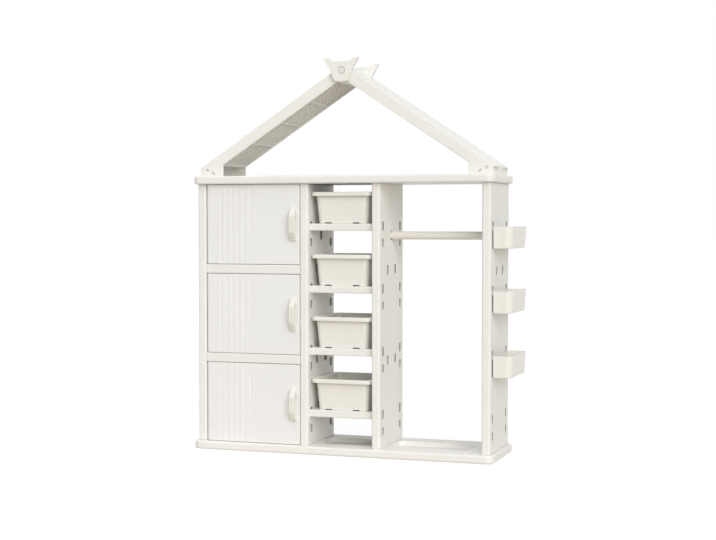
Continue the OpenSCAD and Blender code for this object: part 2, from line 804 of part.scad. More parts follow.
module side_bin(i) {
    out = side_bin_out - side_bin_gap;
    top = hook_slot_z(i) - 1;
    low = top - side_bin_h;
    color(pale) {
        translate([side_x + side_bin_gap, 0, low]) difference() {
            hull() {
                linear_extrude(eps) side_bin_plan(out - side_in, side_bin_l - 2 * side_in, 0);
                translate([0, 0, side_bin_h - eps]) linear_extrude(eps) side_bin_plan(out, side_bin_l, 0);
            }
            hull() {
                translate([0, 0, side_bin_wall]) linear_extrude(eps)
                    side_bin_plan(out - side_in, side_bin_l - 2 * side_in, side_bin_wall);
                translate([0, 0, side_bin_h]) linear_extrude(1)
                    side_bin_plan(out, side_bin_l, side_bin_wall);
            }
        }
        for (s = [-1, 1]) translate([side_x, s * column_y, hook_slot_low(i)]) mirror([1, 0, 0])
            hook(-side_bin_gap - 1, move, hook_neck_h);
        for (s = [-1, 1]) block(side_x + (side_bin_gap + move + 1) / 2, s * pair_offset, low + bumper_z,
            side_bin_gap - move + 1, bumper_w, bumper_h);
    }
}

// ---------------------------------------------------------------- roof

// The outline of the right roof panel and its foot, in X and Z
module roof_outline() {
    polygon([[0, roof_inner_z], [0, roof_peak_z], [roof_half, roof_z + foot_h], [roof_half, roof_z],
        [foot_inner_x, roof_z], [foot_inner_x, roof_inner_z - foot_inner_x * tan(roof_slope)]]);
}

// A place on the panel's inner face: x runs down the slope from the ridge, z goes into the panel
module on_slope() {
    translate([0, 0, roof_inner_z]) rotate([0, roof_slope, 0]) children();
}

module rib_hollows() {
    inner_d = roof_d - 2 * flange_t;
    cell_len = (roof_run - ridge_block - foot_block - (rib_bays - 1) * rib_t) / rib_bays;
    cell_w = (inner_d - (cell_rows - 1) * rib_t) / cell_rows;
    translate([ridge_block, -inner_d / 2, -1])
        cube([roof_run - ridge_block - foot_block, inner_d, rib_set + 1]);
    for (i = [0:rib_bays - 1], j = [0:cell_rows - 1])
        translate([ridge_block + i * (cell_len + rib_t), -inner_d / 2 + j * (cell_w + rib_t), rib_set - 1])
            cube([cell_len, cell_w, roof_t - roof_skin - rib_set + 1]);
}

// The hollow in a foot, open below and on its inner side, between the flanges and behind the pockets
module foot_hollow() {
    w = foot_w - foot_pocket_deep - foot_wall + 1;
    block(foot_inner_x - 1 + w / 2, 0, roof_z - 1, w, roof_d - 2 * flange_t, foot_hollow_h + 1);
}

module roof_panel(side) {
    color(cream) scale([side, 1, 1]) difference() {
        rotate([90, 0, 0]) linear_extrude(roof_d, center = true) roof_outline();
        on_slope() rib_hollows();
        foot_hollow();
        for (sy = [-1, 1]) {
            for (y = foot_pocket_y) {
                block(roof_half - foot_pocket_deep / 2 + 1, sy * y, roof_z + foot_floor,
                    foot_pocket_deep + 2, foot_pocket_w, foot_pocket_h);
                translate([roof_half - foot_pocket_deep / 2, sy * y, roof_z - 1])
                    cylinder(r = screw_r + fit, h = foot_floor + 2);
            }
            translate([roof_half - foot_hole_x, sy * (roof_d / 2 - foot_hole_deep), roof_z + foot_hole_z])
                rotate([-sy * 90, 0, 0]) cylinder(r = foot_hole_r, h = foot_hole_deep + 1);
            translate([roof_half - foot_notch_in, sy * roof_d / 2, roof_z + foot_notch_z])
                rotate([90, 0, 0]) linear_extrude(2 * foot_hole_deep, center = true)
                    rotate(foot_notch_turn) round_strip(foot_notch_t, foot_notch_len);
            translate([peg_x, sy * roof_d / 2, peg_z]) rotate([sy * 90, 0, 0])
                cylinder(r = peg_r + snug, h = peg_len + 0.5);
        }
        translate([0, 0, bolt_z]) rotate([90, 0, 0])
            cylinder(r = ridge_bolt_r + fit, h = roof_d + 2, center = true);
    }
}

module roof_foot_screws() {
    color(steel) at_roof_screws() {
        translate([0, 0, roof_z - foot_bite]) cylinder(r = screw_r, h = foot_bite + foot_floor + 1);
        translate([0, 0, roof_z + foot_floor]) cylinder(r = screw_head_r, h = screw_head_h);
    }
}

// ---------------------------------------------------------------- ridge

// Half of the bracket's face: a flat top between two broad swept-up tips, drawn in below to a blunt foot
module bracket_half() {
    tip = bracket_span / 2;
    polygon([[0, -bracket_foot], [26, -bracket_foot + 3], [35, -16], [41, 2], [tip - 13, tip_rise - 25],
        [tip - 2, tip_rise - 7], [tip, tip_rise - 2.5], [tip - 2.5, tip_rise], [tip - 16, tip_rise - 1],
        [tip - 22, tip_rise - 4], [tip - 31, tip_rise - 10.5], [27, tip_rise - 13], [0, tip_rise - 13]]);
}

module ridge_bracket(side) {
    color(cream) translate([0, side * (roof_d / 2 + bracket_t / 2), bolt_z]) difference() {
        union() {
            rotate([90, 0, 0]) linear_extrude(bracket_t, center = true) {
                bracket_half();
                mirror([1, 0]) bracket_half();
            }
            for (sx = [-1, 1]) translate([sx * peg_x, -side * (bracket_t / 2 - 1), peg_z - bolt_z])
                rotate([side * 90, 0, 0]) cylinder(r = peg_r, h = peg_len + 1);
        }
        rotate([90, 0, 0]) cylinder(r = ridge_bolt_r + fit, h = bracket_t + 2, center = true);
        translate([0, side * (bracket_t / 2 - ring_deep), 0]) rotate([-side * 90, 0, 0])
            cylinder(r = ring_r, h = ring_deep + 1);
    }
}

// The tie bolt runs along the ridge, half in each panel, with its head in the front bracket
module ridge_bolt() {
    seat = roof_d / 2 + bracket_t - ring_deep;
    color(steel) translate([0, -seat, bolt_z]) rotate([-90, 0, 0]) {
        translate([0, 0, -bolt_head_h]) cylinder(r = bolt_head_r, h = bolt_head_h);
        cylinder(r = ridge_bolt_r, h = 2 * seat + bolt_head_h - 1);
    }
}

module ridge_nut() {
    seat = roof_d / 2 + bracket_t - ring_deep;
    color(steel) translate([0, seat, bolt_z]) rotate([-90, 0, 0]) difference() {
        cylinder(r = bolt_head_r, h = bolt_head_h);
        translate([0, 0, -1]) cylinder(r = ridge_bolt_r + snug, h = bolt_head_h);
    }
}

// ---------------------------------------------------------------- mirror

// A thin mirror sheet stuck to the outer face of the left upright
module mirror_sheet() {
    color([0.80, 0.84, 0.88]) translate([upright_x[0] - panel_t / 2 - mirror_t, 0, base_h + panel_h / 2])
        rotate([90, 0, 90]) linear_extrude(mirror_t)
            round_rect(panel_d - 2 * mirror_margin, panel_h - 2 * mirror_margin, mirror_r);
}

// ---------------------------------------------------------------- the pieces

base_plinth();
upright(0);  // left_upright
upright(1);  // cabinet_divider
upright(2);  // bay_divider
upright(3);  // right_upright
top_board();
cabinet_shelf(0);  // lower_cabinet_shelf
cabinet_shelf(1);  // upper_cabinet_shelf
cabinet_back();
door(0);  // bottom_door
door(1);  // middle_door
door(2);  // top_door
handle(0);  // bottom_handle
handle(1);  // middle_handle
handle(2);  // top_handle
handle_screws(0);  // bottom_handle_screws
handle_screws(1);  // middle_handle_screws
handle_screws(2);  // top_handle_screws
hinge_pins(0);  // bottom_hinge_pins
hinge_pins(1);  // middle_hinge_pins
hinge_pins(2);  // top_hinge_pins
strike_plate(0);  // bottom_strike_plate
strike_plate(1);  // middle_strike_plate
strike_plate(2);  // top_strike_plate
door_catches();
bin_shelf(0);  // bin_shelf_1
bin_shelf(1);  // bin_shelf_2
bin_shelf(2);  // bin_shelf_3
bin_shelf(3);  // bin_shelf_4
toy_bin(0);  // toy_bin_1
toy_bin(1);  // toy_bin_2
toy_bin(2);  // toy_bin_3
toy_bin(3);  // toy_bin_4
clothes_rod();
rod_plug(rod_left, 1);  // left_rod_plug
rod_plug(rod_right, -1);  // right_rod_plug
side_bin(1);  // lower_side_bin
side_bin(2);  // middle_side_bin
side_bin(3);  // upper_side_bin
roof_panel(-1);  // left_roof_panel
roof_panel(1);  // right_roof_panel
ridge_bracket(-1);  // front_ridge_bracket
ridge_bracket(1);  // rear_ridge_bracket
ridge_bolt();
ridge_nut();
roof_foot_screws();
base_screws();
top_screws();
screw_caps();
mirror_sheet();
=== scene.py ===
import math
import bmesh
import bpy
from mathutils import Matrix, Vector


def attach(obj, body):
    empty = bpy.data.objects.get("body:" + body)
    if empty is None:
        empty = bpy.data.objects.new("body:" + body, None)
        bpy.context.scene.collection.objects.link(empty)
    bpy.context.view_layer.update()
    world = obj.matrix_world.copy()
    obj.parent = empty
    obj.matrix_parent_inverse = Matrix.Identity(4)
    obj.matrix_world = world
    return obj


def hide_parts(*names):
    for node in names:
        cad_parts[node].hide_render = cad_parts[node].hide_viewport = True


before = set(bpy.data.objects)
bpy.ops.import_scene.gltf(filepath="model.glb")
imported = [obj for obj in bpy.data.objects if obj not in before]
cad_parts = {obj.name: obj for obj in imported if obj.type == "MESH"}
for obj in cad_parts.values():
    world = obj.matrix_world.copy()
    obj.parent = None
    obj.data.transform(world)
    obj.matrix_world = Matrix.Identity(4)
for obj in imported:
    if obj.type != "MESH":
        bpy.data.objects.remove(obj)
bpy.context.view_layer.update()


# Base plinth: a low blow-moulded board in cream plastic with soft edges all the way round.
# Two trays and a small slot for an accessory are moulded into its top, and eight screws
# come up through its underside into the uprights.

MM = 0.001
BASE_SIZE = (1155, 326, 30)
BOARD_CORNER = 28
BOARD_EDGE = 7
TRAYS = [(0, 1, 227, 152), (312.5, 1, 298, 152)]     # middle in x and y, width, length
TRAY_CORNER, TRAY_DEPTH = 22, 17
FLOOR_SLOT = (484.5, -115, 28, 20)
FLOOR_SLOT_DEPTH = 12
UPRIGHT_X = (-546.5, -138.5, 138.5, 546.5)
SCREW_Y = 66
SCREW_HOLE = 9.5
CREAM = (0.86, 0.844, 0.80)


def outline(corners, inset=0.0, steps=7):
    """The points of a polygon's outline, anticlockwise, with a radius at each corner, drawn in by inset"""
    points = []
    count = len(corners)
    for i, (x, y, radius) in enumerate(corners):
        here = Vector((x, y))
        before = (here - Vector(corners[i - 1][:2])).normalized()
        after = (Vector(corners[(i + 1) % count][:2]) - here).normalized()
        turn = before.angle_signed(after) * -1
        side = 1 if turn > 0 else -1
        normal = Vector((before.y, -before.x))
        reach = radius * math.tan(abs(turn) / 2)
        centre = here - before * reach - normal * radius * side
        keep = max(radius * side - inset, 0.02) if side > 0 else radius * side - inset
        for k in range(steps + 1):
            points.append(centre + Matrix.Rotation(turn * k / steps, 2) @ normal * keep)
    return points


def rectangle(w, h, radius, x=0.0, y=0.0):
    """The four corners of a rectangle about a middle, all with the same radius"""
    radius = min(radius, w / 2 - 0.02, h / 2 - 0.02)
    return [(x - w / 2, y - h / 2, radius), (x + w / 2, y - h / 2, radius),
            (x + w / 2, y + h / 2, radius), (x - w / 2, y + h / 2, radius)]


def disc(diameter, x=0.0, y=0.0):
    """A circle about a middle, as the four corners of its square"""
    return rectangle(diameter, diameter, diameter / 2, x, y)


def rounded_over(low, high, radius, steps=4):
    """The edge of a board between two heights, as (inset, height), with its two edges rounded over"""
    turns = [math.pi / 2 * k / steps for k in range(steps + 1)]
    foot = [(radius - radius * math.sin(t), low + radius - radius * math.cos(t)) for t in turns]
    head = [(radius - radius * math.cos(t), high - radius + radius * math.sin(t)) for t in turns]
    return foot + head


def pocket(face, depth, lip, fillet, draft=0.0, steps=4):
    """The side of a blind pocket from above its face down, as (inset, height), with a rounded
    mouth and a filleted floor. A negative depth runs the other way."""
    way = 1 if depth > 0 else -1
    deep = abs(depth)
    turns = [math.pi / 2 * k / steps for k in range(steps + 1)]
    side = [(-lip, -1.0)]
    side += [(-lip * (1 - math.sin(t)), lip * (1 - math.cos(t))) for t in turns]
    side += [(draft + fillet * (1 - math.cos(t)), deep - fillet + fillet * math.sin(t)) for t in turns]
    return [(inset, face - way * down) for inset, down in side]


def stack(shape, corners, side, lay, steps=7):
    """Piles outlines up a side and skins them into a closed solid. Lay turns (across, along, up)
    in millimetres into a place."""
    rows = []
    for inset, height in side:
        rows.append([shape.verts.new(Vector(lay(p.x, p.y, height)) * MM) for p in outline(corners, inset, steps)])
    skin(shape, rows)


def skin(shape, rows):
    """Joins rows of points that are closed outlines, one above the other, and caps the two ends"""
    for low, high in zip(rows, rows[1:]):
        for i in range(len(low)):
            j = (i + 1) % len(low)
            shape.faces.new((low[i], low[j], high[j], high[i]))
    shape.faces.new(list(reversed(rows[0])))
    shape.faces.new(rows[-1])


def flat(x, y, z):
    """Lays a stack as it is, piled up along Z"""
    return x, y, z


def tidy(shape):
    """Welds the points that fall together and turns every face outwards"""
    bmesh.ops.remove_doubles(shape, verts=shape.verts, dist=2e-6)
    bmesh.ops.recalc_face_normals(shape, faces=shape.faces)
    return shape


def as_mesh(shape):
    """Turns a finished shape into a mesh"""
    mesh = bpy.data.meshes.new("moulding")
    tidy(shape).to_mesh(mesh)
    shape.free()
    return mesh


def carve(mesh, *tools):
    """Cuts each tool out of a mesh in turn, and gives back the mesh that is left"""
    blank = bpy.data.objects.new("blank", mesh)
    bpy.context.scene.collection.objects.link(blank)
    cutters = []
    for tool in tools:
        cutter = bpy.data.objects.new("cutter", as_mesh(tool))
        bpy.context.scene.collection.objects.link(cutter)
        cut = blank.modifiers.new("cut", "BOOLEAN")
        cut.operation, cut.solver, cut.object = "DIFFERENCE", "EXACT", cutter
        cutters.append(cutter)
    graph = bpy.context.evaluated_depsgraph_get()
    left = bpy.data.meshes.new_from_object(blank.evaluated_get(graph))
    for spare in [blank, *cutters]:
        bpy.data.objects.remove(spare)
    return left


def piece(name, mesh, body, slot, finish, *nodes):
    """Sets a moulding in its body with its finish and even shading, in place of its solids"""
    thing = bpy.data.objects.new(name, mesh)
    bpy.context.scene.collection.objects.link(thing)
    mesh.materials.clear()
    mesh.materials.append(finish)
    mesh.polygons.foreach_set("use_smooth", [True] * len(mesh.polygons))
    mesh.set_sharp_from_angle(angle=math.radians(34))
    even = thing.modifiers.new("even shading", "WEIGHTED_NORMAL")
    even.keep_sharp = True
    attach(thing, body)
    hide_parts(*nodes)
    return thing


def moulded_plastic(name, colour, drift=0.012, gloss=(0.40, 0.50), grain=0.00002, wave=0.00025):
    """Moulded plastic: a slow drift of tone, patchy sheen, a fine grain and slightly wavy walls.
    Grain and wave are heights in metres."""
    finish = bpy.data.materials.new(name)
    finish.use_nodes = True
    tree = finish.node_tree
    shader = tree.nodes["Principled BSDF"]
    shader.inputs["IOR"].default_value = 1.5
    place = tree.nodes.new("ShaderNodeTexCoord")

    def noise(scale, detail, rough):
        n = tree.nodes.new("ShaderNodeTexNoise")
        n.inputs["Scale"].default_value = scale
        n.inputs["Detail"].default_value = detail
        n.inputs["Roughness"].default_value = rough
        tree.links.new(place.outputs["Object"], n.inputs["Vector"])
        return n

    tone = tree.nodes.new("ShaderNodeValToRGB")
    tone.color_ramp.elements[0].position, tone.color_ramp.elements[1].position = 0.3, 0.7
    tone.color_ramp.elements[0].color = [c * (1 - drift * k) for c, k in zip(colour, (1, 1.15, 1.6))] + [1]
    tone.color_ramp.elements[1].color = [min(c * (1 + drift), 1) for c in colour] + [1]
    tree.links.new(noise(5, 4, 0.55).outputs["Fac"], tone.inputs["Fac"])
    tree.links.new(tone.outputs["Color"], shader.inputs["Base Color"])

    sheen = tree.nodes.new("ShaderNodeMapRange")
    sheen.inputs["From Min"].default_value, sheen.inputs["From Max"].default_value = 0.3, 0.7
    sheen.inputs["To Min"].default_value, sheen.inputs["To Max"].default_value = gloss
    tree.links.new(noise(60, 3, 0.6).outputs["Fac"], sheen.inputs["Value"])
    tree.links.new(sheen.outputs["Result"], shader.inputs["Roughness"])

    waves = tree.nodes.new("ShaderNodeBump")
    waves.inputs["Distance"].default_value = wave
    tree.links.new(noise(16, 1, 0.4).outputs["Fac"], waves.inputs["Height"])
    grains = tree.nodes.new("ShaderNodeBump")
    grains.inputs["Distance"].default_value = grain
    tree.links.new(noise(1400, 2, 0.5).outputs["Fac"], grains.inputs["Height"])
    tree.links.new(waves.outputs["Normal"], grains.inputs["Normal"])
    tree.links.new(grains.outputs["Normal"], shader.inputs["Normal"])
    return finish


board_plastic = moulded_plastic("board_plastic", CREAM)

shape = bmesh.new()
stack(shape, rectangle(*BASE_SIZE[:2], BOARD_CORNER), rounded_over(0, BASE_SIZE[2], BOARD_EDGE, 6), flat, 10)
wells = bmesh.new()
for x, y, w, l in TRAYS:
    stack(wells, rectangle(w, l, TRAY_CORNER, x, y), pocket(BASE_SIZE[2], TRAY_DEPTH, 2, 5, 0.6), flat, 10)
x, y, w, l = FLOOR_SLOT
stack(wells, rectangle(w, l, l / 2, x, y), pocket(BASE_SIZE[2], FLOOR_SLOT_DEPTH, 1.2, 1.5), flat)
for x in UPRIGHT_X:
    for y in (-SCREW_Y, SCREW_Y):
        stack(wells, disc(SCREW_HOLE, x, y), pocket(0, -4, 0.4, 0.1), flat)
piece("base_moulding", carve(as_mesh(shape), wells), "frame", "cream_plastic", board_plastic, "base_plinth")


# Uprights: four tall blow-moulded panels in the same cream plastic, with soft front and back
# edges. Slots go right through them for the hooks of shelves and side bins. The panels are
# hollow, so each slot is a lip in both skins with a wider hollow between them.

UPRIGHT = (32, 286, 30, 992)             # thickness, depth, foot, head
UPRIGHT_EDGE = 7
SLOT_W, SLOT_H, LOW_SLOT_H = 24, 34, 30
SLOT_R = 6
HOOK_SLOT_Z = (151.5, 380, 608.5, 837)
HOOK_Y = 104
LOW_SLOT_DROP = 61                       # from a hook slot down to the low slot below it
LUG_SLOT_Z = (345, 677)
LUG_Y = 46
ROD_Z = 802.5
LIP = 2
HOLLOW_WIDER, HOLLOW_TALLER = 16, 8      # the hollow behind a slot, beyond the slot itself


def sideways(y, z, x):
    """Lays a stack on its side, piled up along X"""
    return x, y, z


upright_plastic = moulded_plastic("upright_plastic", (0.865, 0.849, 0.805))

shape = bmesh.new()
stack(shape, rectangle(*UPRIGHT[:2], UPRIGHT_EDGE), rounded_over(*UPRIGHT[2:], 3), flat, 8)
mouth = pocket(UPRIGHT[0] / 2, UPRIGHT[0], 1.0, 0.02)[:6]
through = mouth + [(inset, -height) for inset, height in reversed(mouth)]
inner = UPRIGHT[0] / 2 - LIP
places = [(s * HOOK_Y, z, SLOT_H) for z in HOOK_SLOT_Z for s in (-1, 1)]
places += [(s * HOOK_Y, z - LOW_SLOT_DROP, LOW_SLOT_H) for z in HOOK_SLOT_Z for s in (-1, 1)]
places += [(s * LUG_Y, z, SLOT_H) for z in LUG_SLOT_Z for s in (-1, 1)] + [(0, ROD_Z, SLOT_H)]
slots = bmesh.new()
hollows = bmesh.new()
for y, z, tall in places:
    stack(slots, rectangle(SLOT_W, tall, SLOT_R, y, z), through, sideways)
    around = rectangle(SLOT_W + HOLLOW_WIDER, tall + HOLLOW_TALLER, 8, y, z)
    stack(hollows, around, [(0, -inner), (0, inner)], sideways, 4)
panel = carve(as_mesh(shape), slots, hollows)
for name, x in zip(("left_upright", "cabinet_divider", "bay_divider", "right_upright"), UPRIGHT_X):
    mesh = panel.copy()
    mesh.transform(Matrix.Translation((x * MM, 0, 0)))
    piece(name + "_panel", mesh, "frame", "cream_plastic", upright_plastic, name)


# Top board: the same kind of board as the base, across the tops of the uprights.
# Four screws show no more than their round push-in caps, over the two middle uprights.

TOP_SIZE = (1155, 326, 992, 1022)        # width, depth, underside, upper face
DECK_Z = TOP_SIZE[3]
CAP, CAP_HOLE = 14, 14.6
CAP_T, CAP_HOLE_DEPTH = 2.5, 4

shape = bmesh.new()
stack(shape, rectangle(*TOP_SIZE[:2], BOARD_CORNER), rounded_over(*TOP_SIZE[2:], BOARD_EDGE, 6), flat, 10)
holes = bmesh.new()
caps = bmesh.new()
for x in UPRIGHT_X[1:3]:
    for y in (-SCREW_Y, SCREW_Y):
        stack(holes, disc(CAP_HOLE, x, y), pocket(DECK_Z, CAP_HOLE_DEPTH, 0.5, 0.1), flat)
        stack(caps, disc(CAP, x, y), rounded_over(DECK_Z - CAP_T, DECK_Z, 0.8, 3), flat)
piece("top_moulding", carve(as_mesh(shape), holes), "frame", "cream_plastic", board_plastic, "top_board")
piece("cap_set", as_mesh(caps), "frame", "cream_plastic", board_plastic, "screw_caps")


# Cabinet: two moulded shelves with soft edges stand between the two left uprights, held by lugs
# in their slots. A plain back sheet and three magnet catches are right as they are and only take
# the plastic.

CABINET_SHELVES = {"lower": 328, "upper": 660}
SHELF_DEPTH, SHELF_T, SHELF_Y = 274, 34, -6
SHELF_ENDS = (-530.3, -154.7)
SHELF_EDGE = 3.5
CABINET_SIDES = ((-530.5, -1), (-154.5, 1))
LUG = (23.5, 22)
LUG_REACH = 13

for level, low in CABINET_SHELVES.items():
    middle = low + SHELF_T / 2
    shape = bmesh.new()
    board = rectangle(SHELF_DEPTH, SHELF_T, SHELF_EDGE, SHELF_Y, middle)
    stack(shape, board, rounded_over(*SHELF_ENDS, 2.4), sideways, 6)
    for x, way in CABINET_SIDES:
        lug = [(0, x - way), (0, x + way * (LUG_REACH - 0.6)), (0.5, x + way * LUG_REACH)]
        for y in (-LUG_Y, LUG_Y):
            stack(shape, rectangle(*LUG, 1.5, y, middle), lug, sideways, 3)
    piece(level + "_cabinet_board", as_mesh(shape), "frame", "cream_plastic", board_plastic, level + "_cabinet_shelf")

sheet_plastic = moulded_plastic("sheet_plastic", (0.84, 0.82, 0.75), gloss=(0.5, 0.6), grain=0.00005)


def dress(finish, slot, *names):
    """Gives a finish to solids that stay as they are"""
    for name in names:
        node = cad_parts[name]
        node.data.materials.clear()
        node.data.materials.append(finish)


dress(board_plastic, "cream_plastic", "door_catches")
dress(sheet_plastic, "cream_plastic", "cabinet_back")


# Doors: three flat moulded panels, round along the hinge edge, each with five long grooves and
# one short groove in its face. Steel pins in the shelves carry them, and a steel strike plate
# is let into the back of each for the magnet.

DOOR_X = (-528, -156)
DOOR_Y = (-143, -123)
DOOR_H = 295
DOOR_FLOORS = {"bottom": 31.5, "middle": 363.5, "top": 695.5}
GROOVES = (58, 80, 105, 127, 151)        # from the hinge edge
GROOVE_W = 7
SHORT_GROOVE = (178, 167, 20)            # from the hinge edge, length, drop from the door's top
GROOVE_SIDE = [(-0.5, -1), (-0.5, 0), (-0.3, 0.07), (-0.1, 0.28), (0, 0.6), (0, 1.8), (0.12, 2.1), (0.5, 2.2)]
HANDLE_X = -178
HANDLE_SCREW = 50                        # from the door's middle up and down to a screw
STRIKE_X = -163


def endways(x, z, y):
    """Lays a stack on its end, piled up along Y"""
    return x, y, z


def bare_metal(name, scale, detail, dark, light, sheen, bump, brushed=None):
    """Bare metal: one noise, stretched where the metal is brushed, varies its tone, sheen and surface"""
    finish = bpy.data.materials.new(name)
    finish.use_nodes = True
    tree = finish.node_tree
    shader = tree.nodes["Principled BSDF"]
    shader.inputs["Metallic"].default_value = 1.0
    place = tree.nodes.new("ShaderNodeTexCoord").outputs["Object"]
    if brushed:
        stretch = tree.nodes.new("ShaderNodeMapping")
        stretch.inputs["Scale"].default_value = brushed
        tree.links.new(place, stretch.inputs["Vector"])
        place = stretch.outputs["Vector"]
    noise = tree.nodes.new("ShaderNodeTexNoise")
    noise.inputs["Scale"].default_value = scale
    noise.inputs["Detail"].default_value = detail
    tree.links.new(place, noise.inputs["Vector"])

    tone = tree.nodes.new("ShaderNodeValToRGB")
    tone.color_ramp.elements[0].color, tone.color_ramp.elements[1].color = dark, light
    tree.links.new(noise.outputs["Fac"], tone.inputs["Fac"])
    tree.links.new(tone.outputs["Color"], shader.inputs["Base Color"])

    gloss = tree.nodes.new("ShaderNodeMapRange")
    gloss.inputs["To Min"].default_value, gloss.inputs["To Max"].default_value = sheen
    tree.links.new(noise.outputs["Fac"], gloss.inputs["Value"])
    tree.links.new(gloss.outputs["Result"], shader.inputs["Roughness"])

    relief = tree.nodes.new("ShaderNodeBump")
    relief.inputs["Distance"].default_value = bump
    tree.links.new(noise.outputs["Fac"], relief.inputs["Height"])
    tree.links.new(relief.outputs["Normal"], shader.inputs["Normal"])
    return finish


door_plastic = moulded_plastic("door_plastic", (0.86, 0.854, 0.835), gloss=(0.36, 0.46))
zinc = bare_metal("zinc_steel", 350, 4, (0.64, 0.64, 0.63, 1), (0.78, 0.78, 0.77, 1), (0.42, 0.55), 0.00002,
                  brushed=(1, 1, 12))

for level, floor in DOOR_FLOORS.items():
    middle = floor + DOOR_H / 2
    front, back = DOOR_Y
    shape = bmesh.new()
    plan = [(DOOR_X[0], front, 9.98), (DOOR_X[1], front, 3), (DOOR_X[1], back, 3), (DOOR_X[0], back, 9.98)]
    stack(shape, plan, rounded_over(floor, floor + DOOR_H, 1.8), flat, 8)
    grooves = bmesh.new()
    cut = [(inset, front + down) for inset, down in GROOVE_SIDE]
    for x in GROOVES:
        stack(grooves, rectangle(GROOVE_W, DOOR_H + 40, 3.4, DOOR_X[0] + x, middle), cut, endways)
    x, length, drop = SHORT_GROOVE
    stack(grooves, rectangle(GROOVE_W, length, 3.4, DOOR_X[0] + x, floor + DOOR_H - drop - length / 2), cut, endways)
    recess = bmesh.new()
    stack(recess, rectangle(10.1, 30, 0.5, STRIKE_X, middle), [(0, back + 1), (0, back - 1.2)], endways, 2)
    for s in (-HANDLE_SCREW, HANDLE_SCREW):
        stack(recess, disc(8.6, HANDLE_X, middle + s), [(0, back + 1), (0, back - 3)], endways)
    piece(level + "_door_panel", carve(as_mesh(shape), grooves, recess), level + "_door_leaf", "cream_plastic",
          door_plastic, level + "_door")
    dress(zinc, "steel", level + "_hinge_pins", level + "_strike_plate", level + "_handle_screws")


# Handles: a bow on two feet, moulded in one piece in a slightly darker, milkier plastic and
# screwed on from behind the door.

HANDLE_W = 22
HANDLE_SIDE = [(60, -8, 3.2), (60, 8, 3), (29.4, 28, 18), (-29.4, 28, 18), (-60, 8, 3), (-60, -8, 3.2), (-40, -8, 3.2),
               (-40, 1, 6), (-31.5, 19, 7), (31.5, 19, 7), (40, 1, 6), (40, -8, 3.2)]

handle_plastic = moulded_plastic("handle_plastic", (0.81, 0.785, 0.715), gloss=(0.3, 0.4))

for level, floor in DOOR_FLOORS.items():
    middle = floor + DOOR_H / 2
    front = DOOR_Y[0]
    shape = bmesh.new()
    stack(shape, HANDLE_SIDE, rounded_over(HANDLE_X - HANDLE_W / 2, HANDLE_X + HANDLE_W / 2, 3, 5),
          lambda a, b, h: (h, front - b, middle + a), 7)
    behind = bmesh.new()
    stack(behind, rectangle(40, 140, 1, HANDLE_X, middle), [(0, front), (0, front + 13)], endways, 1)
    piece(level + "_handle_bow", carve(as_mesh(shape), behind), level + "_door_leaf", "cream_plastic", handle_plastic,
          level + "_handle")


# Bin shelves: four moulded shelves with soft front and back edges, hollow below with a cross of
# ribs. A pair of hooks at each end drops behind the lips of the uprights' slots, and a low
# stop at the back holds the bin.

SHELF_TOPS = (160.5, 389, 617.5, 846)
BIN_SHELF_DEPTH, BIN_SHELF_T = 246, 26
BIN_SHELF_END = 122.5
SHELF_CELL = (118, 118.5)
SHELF_CELL_AT = (60.5, 60.75)
SHELF_CELL_DEPTH = 22.5
HOOK_W = 23.5

shelf_plastic = moulded_plastic("shelf_plastic", (0.855, 0.839, 0.79))

for number, top in enumerate(SHELF_TOPS, 1):
    below = top - BIN_SHELF_T
    shape = bmesh.new()
    board = rectangle(BIN_SHELF_DEPTH, BIN_SHELF_T, SHELF_EDGE, 0, top - BIN_SHELF_T / 2)
    stack(shape, board, rounded_over(-BIN_SHELF_END, BIN_SHELF_END, 0.6, 2), sideways, 6)
    hollows = bmesh.new()
    for sx in (-1, 1):
        for sy in (-1, 1):
            cell = rectangle(*SHELF_CELL, 6, sx * SHELF_CELL_AT[0], sy * SHELF_CELL_AT[1])
            stack(hollows, cell, pocket(below, -SHELF_CELL_DEPTH, 0.6, 3, 0.5), flat)
    mesh = carve(as_mesh(shape), hollows)
    extras = bmesh.new()
    extras.from_mesh(mesh)
    for s in (-1, 1):
        for y in (-HOOK_Y, HOOK_Y):
            neck = [(0, s * 121.5), (0, s * 132.35), (0.4, s * 132.75)]
            stack(extras, rectangle(HOOK_W, 20, 5.75, y, below + 10.25), neck, sideways)
            tooth = [(0.4, top - 32.25), (0, top - 31.85), (0, top - 15.75)]
            stack(extras, rectangle(6, HOOK_W, 0.6, s * 129.75, y), tooth, flat, 2)
    stop = [(0, top - 1), (0, top + 6.6), (0.4, top + 7.6), (1.4, top + 8)]
    stack(extras, rectangle(150, 4, 1.5, 0, 114.46), stop, flat, 4)
    piece("bay_shelf_%d" % number, as_mesh(extras), "frame", "cream_plastic", shelf_plastic, "bin_shelf_%d" % number)


# Pull-out bins: four thin injection-moulded boxes with sloping walls, a wide turned-down rim and
# a short skirt under the floor with two notches in each side. They slide on the shelves.

BIN_HALF = (103.5, 121)
BIN_H = 115
BIN_WALL = 2.6
BIN_SLOPE = 9.5 / BIN_H
BIN_PLAY = 0.3                           # between a bin's skirt and its shelf
NOTCH_AT, NOTCH_W, NOTCH_H = 54, 27, 4

bin_plastic = moulded_plastic("bin_plastic", (0.86, 0.838, 0.775), gloss=(0.34, 0.44), wave=0.00012)


